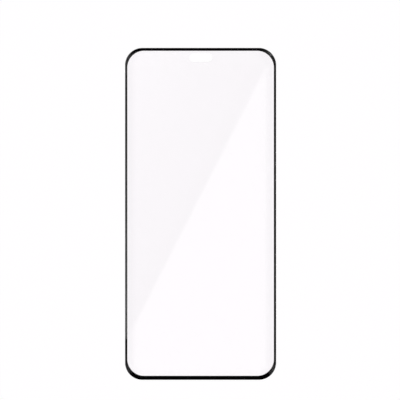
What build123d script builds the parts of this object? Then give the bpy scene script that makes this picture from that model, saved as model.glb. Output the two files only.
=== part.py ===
"""Full-cover screen protector for a phone: a clear glass sheet with a black border printed under its rim.

Frame, in millimetres: +Z is up, away from the phone's screen. +Y points to the earpiece end. The origin is the
middle of the underside, and the sheet lies on that flat underside.
"""

import os

from build123d import *

# Outline of the sheet
SHEET_WIDTH = 70.0
SHEET_LENGTH = 153.8
CORNER_RADIUS = 8.0

# Section of the sheet, 0.33 of glass and its clear adhesive coat: flat in the middle, with a shallow arc ground
# all round down to a thin rim
SHEET_THICKNESS = 0.45
RIM_THICKNESS = 0.25
RIM_ROUND = 0.08
EDGE_ARC_WIDTH = 5.2

# Black border: ink on the underside, from the rim inwards
INK_THICKNESS = 0.03
BORDER_SIDE = 1.05
BORDER_TOP = 1.34
BORDER_BOTTOM = 1.87
BORDER_INNER_RADIUS = 7.75

# Earpiece slot, cut through the glass below the border's top edge
SLOT_LENGTH = 10.8
SLOT_HEIGHT = 4.3
SLOT_TO_TOP = 2.3
SLOT_BEVEL = 0.06

# Places that follow from the sizes
middle_width = SHEET_WIDTH - 2 * EDGE_ARC_WIDTH
middle_length = SHEET_LENGTH - 2 * EDGE_ARC_WIDTH
window_width = SHEET_WIDTH - 2 * BORDER_SIDE
window_length = SHEET_LENGTH - BORDER_TOP - BORDER_BOTTOM
window_centre_y = (BORDER_BOTTOM - BORDER_TOP) / 2
slot_centre_y = SHEET_LENGTH / 2 - SLOT_TO_TOP - SLOT_HEIGHT / 2
edge_drop = SHEET_THICKNESS - RIM_THICKNESS
edge_arc_radius = (EDGE_ARC_WIDTH**2 + edge_drop**2) / (2 * edge_drop)

# The printed border seen from above: the outline of the sheet, less the clear window
with BuildSketch() as border_print:
    RectangleRounded(SHEET_WIDTH, SHEET_LENGTH, CORNER_RADIUS)
    with Locations((0, window_centre_y)):
        RectangleRounded(window_width, window_length, BORDER_INNER_RADIUS, mode=Mode.SUBTRACT)

# Ink band, level with the underside
with BuildPart() as black_border:
    add(border_print.sketch)
    extrude(amount=INK_THICKNESS)
black_border.part.label = "black_border"

# Glass sheet
with BuildPart() as glass_sheet:
    # The flat middle
    with BuildSketch():
        RectangleRounded(middle_width, middle_length, CORNER_RADIUS - EDGE_ARC_WIDTH)
    extrude(amount=SHEET_THICKNESS)

    # The ground edge: its section is swept round the outline, and meets the middle on an upright wall
    with BuildLine() as outline:
        corner_x = SHEET_WIDTH / 2
        corner_y = SHEET_LENGTH / 2
        FilletPolyline(
            (corner_x, -corner_y),
            (corner_x, corner_y),
            (-corner_x, corner_y),
            (-corner_x, -corner_y),
            radius=CORNER_RADIUS,
            close=True,
        )
    start = outline.line @ 0
    along = outline.line % 0
    outward = along.cross(Vector(0, 0, 1))
    with BuildSketch(Plane(origin=start, x_dir=outward, z_dir=-along)) as edge_section:
        with BuildLine():
            Polyline(
                (-EDGE_ARC_WIDTH, SHEET_THICKNESS),
                (-EDGE_ARC_WIDTH, 0),
                (0, 0),
                (0, RIM_THICKNESS),
            )
            RadiusArc((0, RIM_THICKNESS), (-EDGE_ARC_WIDTH, SHEET_THICKNESS), -edge_arc_radius)
        make_face()
        rim_corner = edge_section.vertices().group_by(Axis.X)[-1].sort_by(Axis.Y)[-1]
        fillet(rim_corner, RIM_ROUND)
    sweep(path=outline.line)

    # The step that the ink fills
    add(border_print.sketch)
    extrude(amount=INK_THICKNESS, mode=Mode.SUBTRACT)

    # The earpiece slot, with its edges bevelled above and below
    with BuildSketch():
        with Locations((0, slot_centre_y)):
            SlotOverall(SLOT_LENGTH, SLOT_HEIGHT)
    extrude(amount=SHEET_THICKNESS, mode=Mode.SUBTRACT)
    slot_edges = glass_sheet.edges(Select.LAST).filter_by(Axis.Z, reverse=True)
    chamfer(slot_edges, SLOT_BEVEL)
glass_sheet.part.label = "glass_sheet"

os.makedirs("parts", exist_ok=True)
export_step(glass_sheet.part, "parts/glass_sheet.step")
export_step(black_border.part, "parts/black_border.step")
for piece in (glass_sheet.part, black_border.part):
    size = piece.bounding_box().size
    print(f"{piece.label}: {size.X:.2f} x {size.Y:.2f} x {size.Z:.3f} mm, {piece.volume:.1f} mm3")
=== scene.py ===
# %% [markdown]
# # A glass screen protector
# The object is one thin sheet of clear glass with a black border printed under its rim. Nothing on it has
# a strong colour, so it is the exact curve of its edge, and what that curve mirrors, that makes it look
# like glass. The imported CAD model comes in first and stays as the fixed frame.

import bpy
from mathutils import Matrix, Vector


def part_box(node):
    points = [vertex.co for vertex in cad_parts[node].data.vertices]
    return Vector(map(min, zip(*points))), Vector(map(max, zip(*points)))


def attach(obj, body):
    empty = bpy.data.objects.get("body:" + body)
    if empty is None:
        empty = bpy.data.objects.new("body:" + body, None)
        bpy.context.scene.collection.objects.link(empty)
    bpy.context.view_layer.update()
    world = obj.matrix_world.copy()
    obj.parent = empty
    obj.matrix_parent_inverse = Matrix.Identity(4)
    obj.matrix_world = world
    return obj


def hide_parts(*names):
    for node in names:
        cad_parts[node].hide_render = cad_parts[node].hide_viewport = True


MM = 0.001


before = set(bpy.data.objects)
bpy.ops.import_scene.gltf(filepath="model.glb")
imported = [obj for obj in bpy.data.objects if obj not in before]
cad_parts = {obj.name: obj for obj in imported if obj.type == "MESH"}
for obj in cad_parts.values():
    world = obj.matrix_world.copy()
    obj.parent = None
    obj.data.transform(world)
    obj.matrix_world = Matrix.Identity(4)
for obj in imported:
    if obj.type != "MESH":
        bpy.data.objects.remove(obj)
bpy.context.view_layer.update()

# %% [markdown]
# ## Sizes
# The outer sizes are read from the CAD nodes, so they can't drift. The radii and widths can't be read
# from a box, so they are written here once, in metres, as the CAD source has them.

# %% Sizes of the sheet, the border and the slot
import math

import bpy
from mathutils import Vector
from mathutils.geometry import delaunay_2d_cdt

sheet_low, sheet_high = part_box("glass_sheet")
SHEET_WIDTH = sheet_high.x - sheet_low.x
SHEET_LENGTH = sheet_high.y - sheet_low.y
SHEET_THICKNESS = sheet_high.z
CORNER_RADIUS = 8.0 * MM
RIM_THICKNESS = 0.25 * MM
RIM_ROUND = 0.08 * MM
EDGE_ARC_WIDTH = 5.2 * MM

INK_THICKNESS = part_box("black_border")[1].z
BORDER_SIDE = 1.05 * MM
BORDER_TOP = 1.34 * MM
BORDER_BOTTOM = 1.87 * MM
BORDER_INNER_RADIUS = 7.75 * MM

SLOT_LENGTH = 10.8 * MM
SLOT_HEIGHT = 4.3 * MM
SLOT_TO_TOP = 2.3 * MM
SLOT_BEVEL = 0.06 * MM

half_width = SHEET_WIDTH / 2
half_length = SHEET_LENGTH / 2
edge_drop = SHEET_THICKNESS - RIM_THICKNESS
edge_arc_radius = (EDGE_ARC_WIDTH**2 + edge_drop**2) / (2 * edge_drop)
print(f"the ground edge falls {edge_drop / MM:.2f} mm on an arc of radius {edge_arc_radius / MM:.1f} mm")

# %% [markdown]
# ## Three rounded shapes
# Outline, clear window and slot are all rounded rectangles: the slot is one whose ends are full half
# circles. Curve objects could draw them, but they choose the points themselves. So each shape is a short
# tuple, and one function walks round any of them. Each point carries the direction that faces out of the
# shape there, which later becomes the surface normal. Insets of one shape have the same number of points,
# in step, so that they can be bridged with quads.

# %% Shapes and the loops round them
OUTLINE = (SHEET_WIDTH, SHEET_LENGTH, CORNER_RADIUS, 0.0)
WINDOW = (
    SHEET_WIDTH - 2 * BORDER_SIDE,
    SHEET_LENGTH - BORDER_TOP - BORDER_BOTTOM,
    BORDER_INNER_RADIUS,
    (BORDER_BOTTOM - BORDER_TOP) / 2,
)
SLOT = (SLOT_LENGTH, SLOT_HEIGHT, SLOT_HEIGHT / 2, half_length - SLOT_TO_TOP - SLOT_HEIGHT / 2)
CORNER_STEPS = 28
SHORT_STEPS = 18
LONG_STEPS = 36
TINY = 0.001 * MM


def loop_round(shape, inset=0.0):
    """[(x, y, out_x, out_y)], anticlockwise round a shape (width, length, radius, centre_y)."""
    width, length, radius, centre_y = shape
    half_x = width / 2 - radius
    half_y = length / 2 - radius
    reach = radius - inset
    corners = ((half_x, half_y), (-half_x, half_y), (-half_x, -half_y), (half_x, -half_y))
    loop = []
    for quarter, (x, y) in enumerate(corners):
        for step in range(CORNER_STEPS + 1):
            angle = (quarter + step / CORNER_STEPS) * math.pi / 2
            out_x, out_y = math.cos(angle), math.sin(angle)
            loop.append((x + reach * out_x, centre_y + y + reach * out_y, out_x, out_y))
        next_x, next_y = corners[(quarter + 1) % len(corners)]
        last_x, last_y = loop[-1][:2]
        steps = LONG_STEPS if quarter % 2 else SHORT_STEPS
        for share in (step / steps for step in range(1, steps)):
            loop.append((last_x + share * (next_x - x), last_y + share * (next_y - y), out_x, out_y))
    # The slot has no straight ends, and the points that fall together there are dropped.
    return [a for a, b in zip(loop, loop[1:] + loop[:1]) if math.dist(a[:2], b[:2]) > TINY]


for name, shape in (("outline", OUTLINE), ("window", WINDOW), ("slot", SLOT)):
    print(name, len(loop_round(shape)), "points")

# %% How far a point lies inside a shape
def depth_inside(shape, x, y):
    """The distance to the shape's edge, positive inside, and the way out to it."""
    width, length, radius, centre_y = shape
    past_x = abs(x) - (width / 2 - radius)
    past_y = abs(y - centre_y) - (length / 2 - radius)
    side_x = math.copysign(1, x)
    side_y = math.copysign(1, y - centre_y)
    if past_x > 0 and past_y > 0:
        far = math.hypot(past_x, past_y)
        return radius - far, (side_x * past_x / far, side_y * past_y / far)
    if past_x > past_y:
        return radius - past_x, (side_x, 0.0)
    return radius - past_y, (0.0, side_y)


print(f"the slot's middle lies {depth_inside(OUTLINE, 0, SLOT[3])[0] / MM:.2f} mm inside the outline")

# %% [markdown]
# ## The ground edge
# The upper face of the real sheet is flat in the middle and falls away near the rim in a shallow arc,
# ground and polished. A bevel modifier could cut it, but it gives a few flat steps with blended normals,
# and a mirror shows every one of them. The arc is a plain circle, so its height and its normal are worked
# out exactly.

# %% Height and normal of the upper face
def edge_lean(inset):
    """The angle by which the upper face leans outwards, so far in from the rim."""
    return math.asin(max(EDGE_ARC_WIDTH - inset, 0.0) / edge_arc_radius)


def upper_face(x, y):
    """(place, normal) on the upper face."""
    inset, (out_x, out_y) = depth_inside(OUTLINE, x, y)
    lean = edge_lean(inset)
    height = SHEET_THICKNESS - edge_arc_radius * (1 - math.cos(lean))
    return (x, y, height), (out_x * math.sin(lean), out_y * math.sin(lean), math.cos(lean))


print(f"the edge leans {math.degrees(edge_lean(0)):.2f} degrees at the rim")

# %% [markdown]
# ## A skin with its own normals
# Blender can work out smooth normals from the faces, but near an edge it blends the flat with the round,
# and glass shows that. So every patch of the sheet hands over its faces with a normal at each corner. The
# skin welds corners that share a place, so that the mesh is closed, and keeps the normals as custom ones,
# so that flat stays flat and round stays round, whatever triangles lie underneath.

# %% Collect faces, weld them and make a piece
WELD = 0.0001 * MM


class Skin:
    """Faces with a finish each and a normal at each corner, welded into one mesh."""

    def __init__(self):
        self.places = []
        self.numbers = {}
        self.faces = []
        self.normals = []
        self.finishes = []

    def number(self, place):
        """The number of the point at a place, which is a new one if none is there yet."""
        key = tuple(round(c / WELD) for c in place)
        if key not in self.numbers:
            self.numbers[key] = len(self.places)
            self.places.append(place)
        return self.numbers[key]

    def face(self, corners, finish):
        """Adds a face of (place, normal) corners, turned so that it faces along its normals."""
        a, b, c = (Vector(place) for place, _ in corners[:3])
        facing = (b - a).cross(c - a)
        if facing.dot(sum((Vector(normal) for _, normal in corners), Vector())) < 0:
            corners = corners[::-1]
        self.faces.append([self.number(place) for place, _ in corners])
        self.normals.extend(normal for _, normal in corners)
        self.finishes.append(finish)

    def piece(self, name, finishes):
        """The skin as an object. A face's finish is its number in the list of finishes."""
        mesh = bpy.data.meshes.new(name)
        mesh.from_pydata(self.places, [], self.faces)
        for finish in finishes:
            mesh.materials.append(finish)
        mesh.polygons.foreach_set("material_index", self.finishes)
        mesh.polygons.foreach_set("use_smooth", [True] * len(self.faces))
        mesh.normals_split_custom_set(self.normals)
        made = bpy.data.objects.new(name, mesh)
        bpy.context.scene.collection.objects.link(made)
        return made


print("corners closer than", WELD / MM, "mm are one")

# %% [markdown]
# Two helpers fill the skin. One triangulates the area between loops: Blender's constrained Delaunay keeps
# the loops as edges and uses any further points it is given. The other bridges two loops that run in
# step.

# %% Fill an area, bridge two loops
# What delaunay_2d_cdt is asked for: triangles over the whole area, with points so near, in mm, as one.
WHOLE_AREA = 0
SAME_POINT = 1e-6


def fill(skin, loops, inside, surface, finish, free_points=()):
    """Triangles over the area where inside(x, y) holds, each corner laid on surface(x, y)."""
    flat = []
    edges = []
    for loop in loops:
        first = len(flat)
        count = len(loop)
        flat.extend(Vector(point[:2]) / MM for point in loop)
        edges.extend((first + n, first + (n + 1) % count) for n in range(count))
    flat.extend(Vector(point[:2]) / MM for point in free_points)
    places, _, triangles, *_ = delaunay_2d_cdt(flat, edges, [], WHOLE_AREA, SAME_POINT)
    for triangle in triangles:
        corners = [places[n] * MM for n in triangle]
        middle = (corners[0] + corners[1] + corners[2]) / 3
        if inside(*middle):
            skin.face([surface(*corner) for corner in corners], finish)


def bridge(skin, upper, lower, finish):
    """Quads between two loops of (place, normal) pairs."""
    count = len(upper)
    for n in range(count):
        after = (n + 1) % count
        skin.face([upper[n], upper[after], lower[after], lower[n]], finish)


def at_height(loop, height, out, up):
    """The loop as (place, normal) pairs at one height, the normals leaning out and up as given."""
    return [((x, y, height), (out * out_x, out * out_y, up)) for x, y, out_x, out_y in loop]


def level(height, up):
    """A flat surface for fill, which faces up or down."""
    return lambda x, y: ((x, y, height), (0.0, 0.0, up))


print("helpers:", fill.__name__, bridge.__name__)

# %% [markdown]
# ## Nodes by name
# A finish is a tree of nodes. Each node has sockets, and a socket takes either a value or a link from
# another node. In the editor a link is drawn by hand. Here one helper makes a node and feeds its sockets
# by name, so that a finish reads from top to bottom. Math and Mix nodes get helpers of their own, because
# a Math node has several sockets of one name, and a Mix node has to be told first that it mixes colours.

# %% Make a node and feed its sockets
def feed(tree, socket, value):
    """Links another node's socket to this one, or sets this one to a plain value."""
    if isinstance(value, bpy.types.NodeSocket):
        tree.links.new(value, socket)
    else:
        socket.default_value = value


def add_node(tree, kind, **sockets):
    """A new node with its sockets fed by name. An underscore stands for a space."""
    node = tree.nodes.new(kind)
    for name, value in sockets.items():
        feed(tree, node.inputs[name.replace("_", " ")], value)
    return node


def new_finish(name):
    """A new material, its node tree and the Principled shader in it."""
    finish = bpy.data.materials.new(name)
    finish.use_nodes = True
    return finish, finish.node_tree, finish.node_tree.nodes["Principled BSDF"]


print("helpers:", feed.__name__, add_node.__name__, new_finish.__name__)

# %% Reckon with sockets, mix two colours
def add_maths(tree, operation, *values):
    """What a Math node makes of its values."""
    node = tree.nodes.new("ShaderNodeMath")
    node.operation = operation
    for socket, value in zip(node.inputs, values):
        feed(tree, socket, value)
    return node.outputs["Value"]


def add_mix(tree, factor, first, second):
    """A colour that goes from the first to the second with the factor."""
    node = tree.nodes.new("ShaderNodeMix")
    node.data_type = "RGBA"
    for name, value in (("Factor", factor), ("A", first), ("B", second)):
        feed(tree, node.inputs[name], value)
    return node.outputs["Result"]


print("helpers:", add_maths.__name__, add_mix.__name__)

# %% [markdown]
# ## Glass
# Clear glass has almost no colour of its own: it is seen by what it mirrors and by how it bends what is
# behind it. The Glass shader does both, and so does transmission on the Principled shader, which is used
# here because an exported model keeps it. The polish of a real sheet isn't perfectly even, so the
# roughness drifts a little with soft noise. The cut walls of the rim and the slot are ground but not
# polished, so they get a finer and much rougher version of the same finish. The underside has a soft
# clear adhesive coat that clings to what it lies on. With no air behind it, it hardly bends light and
# hardly mirrors, so the sheet shows one mirror image, from its upper face, and not two.

# %% Glass finishes
GLASS_TINT = (0.97, 0.952, 0.97, 1.0)
GLASS_BENDING = 1.5
COAT_BENDING = 1.1
DRIFT_DETAIL = 4.0


def clear_finish(name, bending, grain, smoothest, roughest):
    """A clear finish whose roughness drifts between two values. Grain is the scale of that noise."""
    finish, tree, shader = new_finish(name)
    shader.inputs["Base Color"].default_value = GLASS_TINT
    shader.inputs["IOR"].default_value = bending
    shader.inputs["Transmission Weight"].default_value = 1.0
    places = add_node(tree, "ShaderNodeTexCoord").outputs["Object"]
    drift = add_node(tree, "ShaderNodeTexNoise", Vector=places, Scale=grain, Detail=DRIFT_DETAIL)
    polish = add_node(
        tree, "ShaderNodeMapRange", Value=drift.outputs["Fac"], To_Min=smoothest, To_Max=roughest
    )
    feed(tree, shader.inputs["Roughness"], polish.outputs["Result"])
    return finish


polished_glass = clear_finish("polished_glass", GLASS_BENDING, grain=60.0, smoothest=0.002, roughest=0.006)
ground_glass = clear_finish("ground_glass", GLASS_BENDING, grain=4000.0, smoothest=0.25, roughest=0.45)
coated_glass = clear_finish("coated_glass", COAT_BENDING, grain=700.0, smoothest=0.06, roughest=0.12)
POLISHED, GROUND, COATED = 0, 1, 2
print("finishes:", polished_glass.name, ground_glass.name, coated_glass.name)

# %% [markdown]
# ## Ink
# The border is screen-printed: black ink pushed through a fine mesh onto the underside of the glass. Two
# crossed waves give the faint relief that the mesh leaves, and noise keeps the black from being one flat
# number. Where the ink wets the glass there is no air and so no gloss between them, only on its open
# underside.

# %% Ink finishes
SCREEN_PITCH = 0.12 * MM
RELIEF_DEPTH = 0.004 * MM
RELIEF_STRENGTH = 0.4
INK_GRAIN = 900.0
INK_DEEP = (0.0012, 0.0012, 0.0015, 1)
INK_THIN = (0.0040, 0.0040, 0.0046, 1)
INK_SMOOTHEST, INK_ROUGHEST = 0.38, 0.55
# At a scale of 1, Blender's wave texture repeats after this length.
WAVE_LENGTH = math.pi / 10


def ink_finish(name, gloss):
    """Black printed ink with the relief of a fine mesh."""
    finish, tree, shader = new_finish(name)
    shader.inputs["Specular IOR Level"].default_value = gloss
    places = add_node(tree, "ShaderNodeTexCoord").outputs["Object"]
    cover = add_node(tree, "ShaderNodeTexNoise", Vector=places, Scale=INK_GRAIN).outputs["Fac"]
    dryness = add_node(tree, "ShaderNodeMapRange", Value=cover, To_Min=INK_SMOOTHEST, To_Max=INK_ROUGHEST)
    threads = []
    for direction in "XY":
        wave = add_node(tree, "ShaderNodeTexWave", Vector=places, Scale=WAVE_LENGTH / SCREEN_PITCH)
        wave.bands_direction = direction
        threads.append(wave.outputs["Fac"])
    weave = add_maths(tree, "MULTIPLY", *threads)
    relief = add_node(tree, "ShaderNodeBump", Height=weave, Distance=RELIEF_DEPTH, Strength=RELIEF_STRENGTH)
    feed(tree, shader.inputs["Base Color"], add_mix(tree, cover, INK_DEEP, INK_THIN))
    feed(tree, shader.inputs["Roughness"], dryness.outputs["Result"])
    feed(tree, shader.inputs["Normal"], relief.outputs["Normal"])
    return finish


wetted_ink = ink_finish("wetted_ink", gloss=0.0)
open_ink = ink_finish("open_ink", gloss=0.5)
WETTED, OPEN = 0, 1
print("screen mesh pitch", SCREEN_PITCH / MM, "mm")

# %% [markdown]
# ## The glass sheet
# The real sheet is cut from flat glass and then ground. A block with a bevel and a boolean cut could
# follow that, but such cuts leave no say in the normals. So the sheet is laid up patch by patch. The
# upper face comes first. Rings of points follow the arc close together, because there the normal turns,
# and the flat middle needs none.

# %% Upper face of the glass
ARC_RINGS = 16

glass = Skin()
arc_reach = EDGE_ARC_WIDTH - RIM_ROUND
rim_start = math.asin(arc_reach / (edge_arc_radius - RIM_ROUND))
rim_inset = RIM_ROUND * (1 - math.sin(rim_start))
slot_mouth = loop_round(SLOT, -SLOT_BEVEL)


def on_glass(x, y):
    """True inside the outline and clear of the slot with its bevel."""
    return depth_inside(OUTLINE, x, y)[0] > 0 and depth_inside(SLOT, x, y)[0] < -SLOT_BEVEL


rings = []
for n in range(1, ARC_RINGS + 1):
    inset = rim_inset + (EDGE_ARC_WIDTH - rim_inset) * n / ARC_RINGS
    rings.extend(point for point in loop_round(OUTLINE, inset) if on_glass(*point[:2]))
fill(glass, [loop_round(OUTLINE, rim_inset), slot_mouth], on_glass, upper_face, POLISHED, rings)
print("upper face:", len(glass.faces), "triangles")

# %% [markdown]
# The rim is a small round that runs into the arc without a break. Its centre lies where a circle of the
# rim's radius touches both the arc and the upright wall. Below it stands the wall, down to the ink.

# %% Rim of the glass
RIM_RINGS = 8

centre_rise = math.sqrt((edge_arc_radius - RIM_ROUND) ** 2 - arc_reach**2)
rim_centre = SHEET_THICKNESS - edge_arc_radius + centre_rise
rim = []
for n in range(RIM_RINGS + 1):
    lean = rim_start + (math.pi / 2 - rim_start) * n / RIM_RINGS
    loop = loop_round(OUTLINE, RIM_ROUND * (1 - math.sin(lean)))
    rim.append(at_height(loop, rim_centre + RIM_ROUND * math.cos(lean), math.sin(lean), math.cos(lean)))
for upper, lower in zip(rim, rim[1:]):
    bridge(glass, upper, lower, POLISHED)
bridge(glass, rim[-1], at_height(loop_round(OUTLINE), INK_THICKNESS, 1, 0), GROUND)
print(f"rim wall from {INK_THICKNESS / MM:.3f} to {rim_centre / MM:.3f} mm")

# %% [markdown]
# The underside is flat, and stepped up by the thickness of the ink along the border. Only the clear
# window has the adhesive coat's finish.

# %% Underside of the glass
def under_border(x, y):
    """True between the outline and the window."""
    return depth_inside(OUTLINE, x, y)[0] > 0 and depth_inside(WINDOW, x, y)[0] < 0


def under_window(x, y):
    """True inside the window and clear of the slot."""
    return depth_inside(WINDOW, x, y)[0] > 0 and on_glass(x, y)


border_edges = [loop_round(OUTLINE), loop_round(WINDOW)]
fill(glass, border_edges, under_border, level(INK_THICKNESS, -1.0), POLISHED)
step_top = at_height(loop_round(WINDOW), INK_THICKNESS, 1, 0)
step_foot = at_height(loop_round(WINDOW), 0.0, 1, 0)
bridge(glass, step_top, step_foot, POLISHED)
fill(glass, [loop_round(WINDOW), slot_mouth], under_window, level(0.0, -1.0), COATED)
print("with the underside:", len(glass.faces), "faces")

# %% [markdown]
# The slot goes right through, with a small bevel above and below, where a cutter breaks the sharp edge.
# The upper bevel follows the arc, because the slot reaches into the ground edge.

# %% Walls of the slot
# Both parts of a normal that leans by 45 degrees
DIAGONAL = math.sqrt(0.5)

slot_loop = loop_round(SLOT)
bevel_top = []
bevel_foot = []
wall_top = []
for (x, y, out_x, out_y), mouth in zip(slot_loop, slot_mouth):
    top = upper_face(*mouth[:2])[0]
    slant = (-DIAGONAL * out_x, -DIAGONAL * out_y, DIAGONAL)
    foot = (x, y, top[2] - SLOT_BEVEL)
    bevel_top.append((top, slant))
    bevel_foot.append((foot, slant))
    wall_top.append((foot, (-out_x, -out_y, 0.0)))
under_top = at_height(slot_loop, SLOT_BEVEL, -DIAGONAL, -DIAGONAL)
under_foot = at_height(slot_mouth, 0.0, -DIAGONAL, -DIAGONAL)
bridge(glass, bevel_top, bevel_foot, GROUND)
bridge(glass, wall_top, at_height(slot_loop, SLOT_BEVEL, -1, 0), GROUND)
bridge(glass, under_top, under_foot, GROUND)

glass_pane = glass.piece("glass_pane", [polished_glass, ground_glass, coated_glass])
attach(glass_pane, "root")
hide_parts("glass_sheet")
print("glass_pane:", len(glass.places), "points,", len(glass.faces), "faces")

# %% [markdown]
# ## The printed border
# The real border is a film of ink, seen through the glass. It could be painted on the sheet as a dark
# part of its finish, but then the glass above it would have no depth. So it is a thin band of its own,
# under the glass. If the two meshes only touched, light would cross a gap of nothing and the black would
# show a second, false gloss. So the ink is let into the glass by a few thousandths of a millimetre.

# %% Lay up the ink
INK_BITE = 0.004 * MM

ink = Skin()
ink_top = INK_THICKNESS + INK_BITE
fill(ink, border_edges, under_border, level(ink_top, 1.0), WETTED)
fill(ink, border_edges, under_border, level(0.0, -1.0), OPEN)
for loop, side in zip(border_edges, (1, -1)):
    bridge(ink, at_height(loop, ink_top, side, 0), at_height(loop, 0.0, side, 0), OPEN)
border_ink = ink.piece("border_ink", [wetted_ink, open_ink])
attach(border_ink, "root")
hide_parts("black_border")
print("border_ink:", len(ink.places), "points,", len(ink.faces), "faces")

# %% [markdown]
# ## Camera
# The photograph looks straight down on the sheet, with no perspective to be seen. A camera set to
# parallel rays would show that too. A long lens high above the sheet is what a photographer uses, and its
# picture hardly differs. Its height makes the sheet as long in the picture as it is in the photograph,
# and its place is above the point that the photograph has in its middle.

# %% Camera above the sheet
# The photograph's side and the edges of the sheet in it, in pixels
PHOTO_SIDE = 400.0
PHOTO_LEFT, PHOTO_RIGHT = 125.12, 276.10
PHOTO_TOP, PHOTO_BOTTOM = 47.96, 379.80
LENS_MM = 200.0
SENSOR_MM = 36.0
NEAREST, FARTHEST = 0.01, 50.0

pixel = SHEET_LENGTH / (PHOTO_BOTTOM - PHOTO_TOP)
camera_x = (PHOTO_SIDE - PHOTO_LEFT - PHOTO_RIGHT) / 2 * pixel
camera_y = (PHOTO_TOP + PHOTO_BOTTOM - PHOTO_SIDE) / 2 * pixel
camera_height = PHOTO_SIDE * pixel * LENS_MM / SENSOR_MM

lens = bpy.data.cameras.new("camera")
lens.lens = LENS_MM
lens.sensor_width = SENSOR_MM
lens.clip_start = NEAREST
lens.clip_end = FARTHEST
camera = bpy.data.objects.new("camera", lens)
camera.location = (camera_x, camera_y, camera_height)
bpy.context.scene.collection.objects.link(camera)
bpy.context.scene.camera = camera
print(f"camera {camera_height:.3f} m up, {pixel / MM:.4f} mm a pixel")

# %% [markdown]
# ## Floor
# The sheet lies on a plain white floor. A floor that is only lit comes out grey, and more light on it
# would spoil the glass. So to the camera, and in what glass mirrors or lets through, most of that white
# is the floor's own, which keeps the page clean. The rest is lit by the lamps, which keeps the shadow.

# %% Helpers for the stage
def stage_mesh(name, points, faces):
    """A mesh that belongs to the setting, not to the object."""
    mesh = bpy.data.meshes.new(name)
    mesh.from_pydata(points, [], faces)
    made = bpy.data.objects.new(name, mesh)
    bpy.context.scene.collection.objects.link(made)
    return made


def bare_finish(name):
    """A new material with no shader yet, its node tree and the socket that takes the shader."""
    finish, tree, shader = new_finish(name)
    tree.nodes.remove(shader)
    return finish, tree, tree.nodes["Material Output"].inputs["Surface"]


def grey(tone):
    """A colour with one tone for red, green and blue."""
    return (tone, tone, tone, 1)


def seen_directly(tree):
    """1 for camera rays and for what is seen in gloss or through glass, and 0 for bounced light."""
    path = add_node(tree, "ShaderNodeLightPath").outputs
    shiny = add_maths(tree, "MAXIMUM", path["Is Glossy Ray"], path["Is Transmission Ray"])
    return add_maths(tree, "MAXIMUM", path["Is Camera Ray"], shiny)


print("helpers:", stage_mesh.__name__, bare_finish.__name__, seen_directly.__name__)

# %% White floor
FLOOR_DROP = 0.02 * MM
FLOOR_HALF = 6.0
FLOOR_WHITE = (1.0, 0.991, 1.0, 1.0)
# How bright it is by itself, and the shares of light that it gives back to the eye and as bounced light
FLOOR_OWN = 0.958
FLOOR_LIT = 0.045
FLOOR_BOUNCE = 0.8

corners = [(FLOOR_HALF * x, FLOOR_HALF * y, 0) for x, y in ((-1, -1), (1, -1), (1, 1), (-1, 1))]
floor = stage_mesh("floor", corners, [(0, 1, 2, 3)])
floor.location.z = -FLOOR_DROP
paper, tree, surface = bare_finish("white_floor")
bounce = add_node(tree, "ShaderNodeBsdfDiffuse", Color=grey(FLOOR_BOUNCE))
lit = add_node(tree, "ShaderNodeBsdfDiffuse", Color=grey(FLOOR_LIT))
own = add_node(tree, "ShaderNodeEmission", Color=FLOOR_WHITE, Strength=FLOOR_OWN)
page = add_node(tree, "ShaderNodeAddShader")
feed(tree, page.inputs[0], own.outputs["Emission"])
feed(tree, page.inputs[1], lit.outputs["BSDF"])
choice = add_node(tree, "ShaderNodeMixShader", Fac=seen_directly(tree))
feed(tree, choice.inputs[1], bounce.outputs["BSDF"])
feed(tree, choice.inputs[2], page.outputs["Shader"])
feed(tree, surface, choice.outputs["Shader"])
floor.data.materials.append(paper)
print("floor", 2 * FLOOR_HALF, "m wide")

# %% [markdown]
# ## Room light
# The room is pale towards the horizon and dark overhead. A sheet that lies flat mirrors what is overhead,
# so a dark ceiling leaves the border black, and the only bright things up there are the cards of a later
# step. From the side, clear glass in a room of one even tone could as well be white paper. So tall pale
# panels stand all round, leaning, with dimmer gaps between them, and from most sides the edge of one
# shows in the glass. The steeper the view, the less the glass mirrors, so the contrast between panels and
# gaps grows with their height.

# %% A ramp of greys
def tone_ramp(tree, place, stops):
    """A grey read from stops, (place from 0 to 1, tone)."""
    ramp = add_node(tree, "ShaderNodeValToRGB", Fac=place)
    elements = ramp.color_ramp.elements
    while len(elements) < len(stops):
        elements.new(1.0)
    for element, (position, tone) in zip(elements, stops):
        element.position = position
        element.color = grey(tone)
    return ramp.outputs["Color"]


print("helper:", tone_ramp.__name__)

# %% Room with leaning panels
# Panels all round, the phase by which they lean up to the ceiling, and the softness of their edges
PANELS = 24
PANEL_LEAN = 8 * math.pi
PANEL_SOFT = 0.1
# The height in the room, from 0 at the horizon to 1 overhead, and the tones of a gap and of a panel there
ROOM_TONES = (
    (0.0, 0.74, 0.82),
    (0.25, 0.76, 0.98),
    (0.5, 0.65, 1.25),
    (0.6, 0.48, 1.25),
    (0.75, 0.3, 1.0),
    (0.85, 0.15, 0.7),
    (0.92, 0.04, 0.15),
    (0.95, 0.004, 0.004),
)

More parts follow.
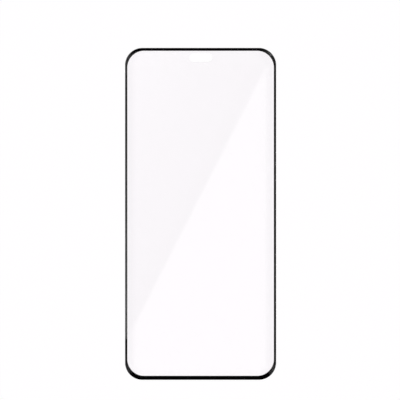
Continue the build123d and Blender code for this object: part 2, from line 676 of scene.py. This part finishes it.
room = bpy.data.worlds.new("room")
room.use_nodes = True
bpy.context.scene.world = room
tree = room.node_tree
ways = add_node(tree, "ShaderNodeTexCoord").outputs["Generated"]
way = add_node(tree, "ShaderNodeSeparateXYZ", Vector=ways).outputs
round_room = add_maths(tree, "ARCTAN2", way["Y"], way["X"])
lean = add_maths(tree, "MULTIPLY", way["Z"], PANEL_LEAN)
wave = add_maths(tree, "SINE", add_maths(tree, "MULTIPLY_ADD", round_room, PANELS, lean))
on_panel = add_node(tree, "ShaderNodeMapRange", Value=wave, From_Min=-PANEL_SOFT, From_Max=PANEL_SOFT)
gaps = tone_ramp(tree, way["Z"], [(height, gap) for height, gap, _ in ROOM_TONES])
panels = tone_ramp(tree, way["Z"], [(height, panel) for height, _, panel in ROOM_TONES])
walls = add_mix(tree, on_panel.outputs["Result"], gaps, panels)
to_camera = add_node(tree, "ShaderNodeLightPath").outputs["Is Camera Ray"]
feed(tree, tree.nodes["Background"].inputs["Color"], add_mix(tree, to_camera, walls, FLOOR_WHITE))
print(PANELS, "panels round the room")

# %% [markdown]
# ## Lamps
# Two square lamps stand low on the left and the right. A sun or a small lamp would draw hard shadows.
# These are half as wide as they are far away, so their shadows are soft. Together with the room they give
# a plain level of light, at which a matte grey comes out about as it is written.

# %% Two soft lamps
LAMP_FAR = 1.4
LAMP_SIDE = 0.7
LAMP_WATTS = 5.8
LAMP_RISE = math.radians(38)


def soft_lamp(name, azimuth):
    """A square lamp that looks at the sheet, so many degrees round from the front."""
    light = bpy.data.lights.new(name, "AREA")
    light.shape = "SQUARE"
    light.size = LAMP_SIDE
    light.energy = LAMP_WATTS
    lamp = bpy.data.objects.new(name, light)
    turn = math.radians(azimuth)
    away = Vector((math.sin(turn), -math.cos(turn), 0)) * math.cos(LAMP_RISE)
    lamp.location = LAMP_FAR * (away + Vector((0, 0, math.sin(LAMP_RISE))))
    lamp.rotation_euler = (-lamp.location).to_track_quat("-Z", "Y").to_euler()
    bpy.context.scene.collection.objects.link(lamp)


soft_lamp("lamp_left", azimuth=-100)
soft_lamp("lamp_right", azimuth=80)
print("two lamps of", LAMP_WATTS, "W")

# %% [markdown]
# ## The card in the mirror
# The slanting line across the glass in the photograph is the edge of a bright card, seen in the sheet as
# in a mirror. It could be painted on the glass, but then it would stay put when the view moves. So a real
# card hangs above the camera. Its place and scale are such that its own coordinates are those of the
# sheet below: a flat spot of the sheet mirrors the spot of the card that has the same x and y. On the
# ground edge the mirror turns outwards, and the helper says how far.

# %% Where the sheet looks on the card
CARD_HEIGHT = 1.5

mirror = CARD_HEIGHT / camera_height
card_scale = 1 + mirror


def looks_at(place, camera_place, inset):
    """Where on the card a spot of the sheet looks, along x or y, in the sheet's own coordinates."""
    lean = math.copysign(edge_lean(inset), place)
    glance = math.atan((place - camera_place) / camera_height)
    return (place + CARD_HEIGHT * math.tan(glance + 2 * lean) + mirror * camera_place) / card_scale


def hang(card):
    """Hangs a card so that its coordinates are those of the sheet, out of the camera's own sight."""
    card.location = (-mirror * camera_x, -mirror * camera_y, CARD_HEIGHT)
    card.scale = (card_scale, card_scale, 1)
    card.visible_camera = False


card_side = looks_at(half_width - BORDER_SIDE, camera_x, BORDER_SIDE)
card_top = looks_at(half_length - BORDER_TOP, camera_y, BORDER_TOP)
card_bottom = looks_at(BORDER_BOTTOM - half_length, camera_y, BORDER_BOTTOM)
card_ends = [round(end / MM) for end in (card_side, card_bottom, card_top)]
print("side, bottom and top of the card, in mm of the sheet:", card_ends)

# %% [markdown]
# The card ends where the border begins to look, so the border mirrors only the dark ceiling. It has the
# outline of the sheet, drawn larger, so the loop function makes it too. Its tones are a soft step across
# the slanting edge and a slow ramp on the dim side of it, multiplied by ramps towards the sides and the
# lower end. Each tone has a place in millimetres of the sheet: from the slanting edge, out to the left,
# out to the right, or along the sheet.

# %% Card with the slanting edge
# A point of the edge in the photograph, in pixels, and how far it runs to the right for each pixel down
EDGE_PHOTO_X, EDGE_PHOTO_Y, EDGE_SLOPE = 261.5, 76.0, -0.51
DIM_TONES = ((-55, 0.76), (-40, 0.61), (-25, 0.51), (-9, 0.46), (-5, 0.39), (0, 0.36))
LEFT_TONES = ((30, 1.0), (36, 0.88), (44, 0.79), (55, 0.69), (64, 0.54), (72, 0.4), (86, 0.34))
RIGHT_TONES = ((27, 1.0), (30, 0.92), (35, 0.75), (44, 0.62), (53, 0.51), (62, 0.43), (71, 0.36), (80, 0.28))
END_TONES = ((-140, 0.84), (-97, 0.82), (-88, 1.0))

card_radius = card_top - (half_length - CORNER_RADIUS)
card_shape = (2 * card_side, card_top - card_bottom, card_radius, (card_top + card_bottom) / 2)
card_points = [(x, y, 0) for x, y, _, _ in loop_round(card_shape)]
card = stage_mesh("card", card_points, [range(len(card_points))])
hang(card)

edge_run = (PHOTO_TOP + PHOTO_BOTTOM) / 2 - EDGE_PHOTO_Y
edge_x = (EDGE_PHOTO_X + EDGE_SLOPE * edge_run - (PHOTO_LEFT + PHOTO_RIGHT) / 2) * pixel
across = Vector((1, EDGE_SLOPE)).normalized()
edge_place = edge_x * across.x
dim_stops = [(edge_place + place * MM, tone) for place, tone in DIM_TONES]
side_stops = [(-place * MM, tone) for place, tone in LEFT_TONES[::-1]]
side_stops.extend((place * MM, tone) for place, tone in RIGHT_TONES)
end_stops = [(place * MM, tone) for place, tone in END_TONES]
print(f"slanting edge {edge_x / MM:.1f} mm from the middle of the sheet")

# %% [markdown]
# On the ground edge the mirror sweeps across the card many times faster than on the flat middle. For the
# slanting edge to run straight on up to the border, the card's coordinates are slowed down by as much
# beyond the flat part.

# %% Tones along a coordinate of the card
SPAN = 160 * MM

flat_x = half_width - EDGE_ARC_WIDTH
flat_y = half_length - EDGE_ARC_WIDTH
edge_sweep = looks_at(half_width, camera_x, 0.0) - looks_at(flat_x, camera_x, EDGE_ARC_WIDTH)
edge_pace = EDGE_ARC_WIDTH / edge_sweep


def tone_along(tree, place, stops):
    """A grey read from stops, (place in metres, tone)."""
    share = add_node(tree, "ShaderNodeMapRange", Value=place, From_Min=-SPAN, From_Max=SPAN)
    shares = [((stop + SPAN) / (2 * SPAN), tone) for stop, tone in stops]
    return tone_ramp(tree, share.outputs["Result"], shares)


def slowed(tree, place, flat):
    """The coordinate as it is on the flat middle, and slowed down beyond it."""
    held = add_node(tree, "ShaderNodeClamp", Value=place, Min=-flat, Max=flat).outputs["Result"]
    return add_node(tree, "ShaderNodeMix", Factor=edge_pace, A=held, B=place).outputs["Result"]


print(f"on the ground edge the mirror runs {1 / edge_pace:.0f} times as fast")

# %% Glow of the card
EDGE_SOFT = 0.85 * MM
BRIGHT = 2.1

glow, tree, surface = bare_finish("card_glow")
places = add_node(tree, "ShaderNodeTexCoord").outputs["Object"]
place = add_node(tree, "ShaderNodeSeparateXYZ", Vector=places).outputs
along_x = add_maths(tree, "MULTIPLY", slowed(tree, place["X"], flat_x), across.x)
slant = add_maths(tree, "MULTIPLY_ADD", slowed(tree, place["Y"], flat_y), across.y, along_x)
step = add_node(
    tree,
    "ShaderNodeMapRange",
    Value=slant,
    From_Min=edge_place - EDGE_SOFT,
    From_Max=edge_place + EDGE_SOFT,
    To_Min=tone_along(tree, slant, dim_stops),
    To_Max=1.0,
)
to_sides = add_maths(tree, "MULTIPLY", step.outputs["Result"], tone_along(tree, place["X"], side_stops))
to_ends = add_maths(tree, "MULTIPLY", to_sides, tone_along(tree, place["Y"], end_stops))
shine = add_node(tree, "ShaderNodeEmission", Color=to_ends, Strength=BRIGHT)
feed(tree, surface, shine.outputs["Emission"])
card.data.materials.append(glow)
print(f"card {CARD_HEIGHT} m up, {2 * card_side * card_scale:.2f} m wide")

# %% [markdown]
# ## Narrow strips
# In the photograph the black border itself shines a little: along the left side, down to where the
# slanting edge meets it, and round the corners on the parts that face the sides. A glossier ink would
# shine all round. So narrow strips hang just above the card's edge, where those parts of the border look.
# Each station of a strip has a tone of its own, kept as an attribute of the mesh, so one material serves
# all the strips.

# %% Glow of the strips
strip_glow, tree, surface = bare_finish("strip_glow")
station_tone = add_node(tree, "ShaderNodeAttribute")
station_tone.attribute_name = "tone"
shine = add_node(tree, "ShaderNodeEmission", Strength=station_tone.outputs["Fac"])
feed(tree, surface, shine.outputs["Emission"])
print("strips glow by their attribute", station_tone.attribute_name)

# %% A strip along a side and round a corner
# How far a strip hangs above the card and reaches in over its edge, and the degrees between its stations
STRIP_RISE = 2.0 * MM
STRIP_LAP = 12.0 * MM
BEND_STEP = 3.0

bend_x = half_width - CORNER_RADIUS
bend_y = half_length - CORNER_RADIUS
strip_near = card_side - bend_x - STRIP_LAP
strip_far = looks_at(half_width, camera_x, 0.0) - bend_x


def edge_strip(name, side_x, side_y, side, bend):
    """A band along a side, (mm along it, tone), and then round a corner, (degrees from the side, tone)."""
    stations = [(side_x * bend_x, place * MM, side_x, 0, tone) for place, tone in side]
    for (start, first), (end, last) in zip(bend, bend[1:]):
        steps = math.ceil((end - start) / BEND_STEP)
        for share in (n / steps for n in range(steps + 1)):
            turn = math.radians(start + share * (end - start))
            out_x, out_y = side_x * math.cos(turn), side_y * math.sin(turn)
            tone = first + share * (last - first)
            stations.append((side_x * bend_x, side_y * bend_y, out_x, out_y, tone))
    points = []
    for x, y, out_x, out_y, _ in stations:
        points.extend((x + far * out_x, y + far * out_y, 0) for far in (strip_near, strip_far))
    faces = [(n, n + 1, n + 3, n + 2) for n in range(0, len(points) - 2, 2)]
    strip = stage_mesh(name, points, faces)
    tones = strip.data.attributes.new("tone", "FLOAT", "POINT")
    tones.data.foreach_set("value", [tone for *_, tone in stations for _ in range(2)])
    strip.data.materials.append(strip_glow)
    hang(strip)
    strip.location.z += STRIP_RISE


print(f"strips {(strip_far - strip_near) / MM:.0f} mm wide in the sheet's own measure")

# %% Hang the strips
# Tones by place along the left side, and by degrees round the corners. A lead starts a strip on its side.
LEFT_SIDE = ((-58.5, 2.2), (-50, 2.0), (-31, 1.4), (25, 0.78), (60, 0.5))
UPPER_LEFT = ((0, 0.92), (30, 0.92), (40, 0.63), (50, 0.23), (60, 0.0))
UPPER_LEAD = ((64, 0.0),)
UPPER_RIGHT = (
    (0, 0.2), (10, 0.4), (34, 0.5), (38, 1.9), (43, 1.9),
    (50, 1.3), (60, 0.4), (72, 0.2), (88, 0.0),
)
LOWER_LEAD = ((-63, 0.0),)
LOWER_LEFT = ((0, 0.3), (10, 0.5), (30, 0.55), (40, 0.23), (50, 0.0))
LOWER_RIGHT = ((0, 0.3), (10, 0.5), (20, 0.8), (30, 0.8), (40, 0.6), (50, 0.05), (53, 0.0))

edge_strip("left_strip", -1, 1, LEFT_SIDE, UPPER_LEFT)
edge_strip("upper_right_strip", 1, 1, UPPER_LEAD, UPPER_RIGHT)
edge_strip("lower_left_strip", -1, -1, LOWER_LEAD, LOWER_LEFT)
edge_strip("lower_right_strip", 1, -1, LOWER_LEAD, LOWER_RIGHT)
print("strips hang", STRIP_RISE / MM, "mm above the card")

# %% [markdown]
# ## Finish
# The picture uses the Standard view, so that tones come out as written.

# %% View
bpy.context.scene.view_settings.view_transform = "Standard"
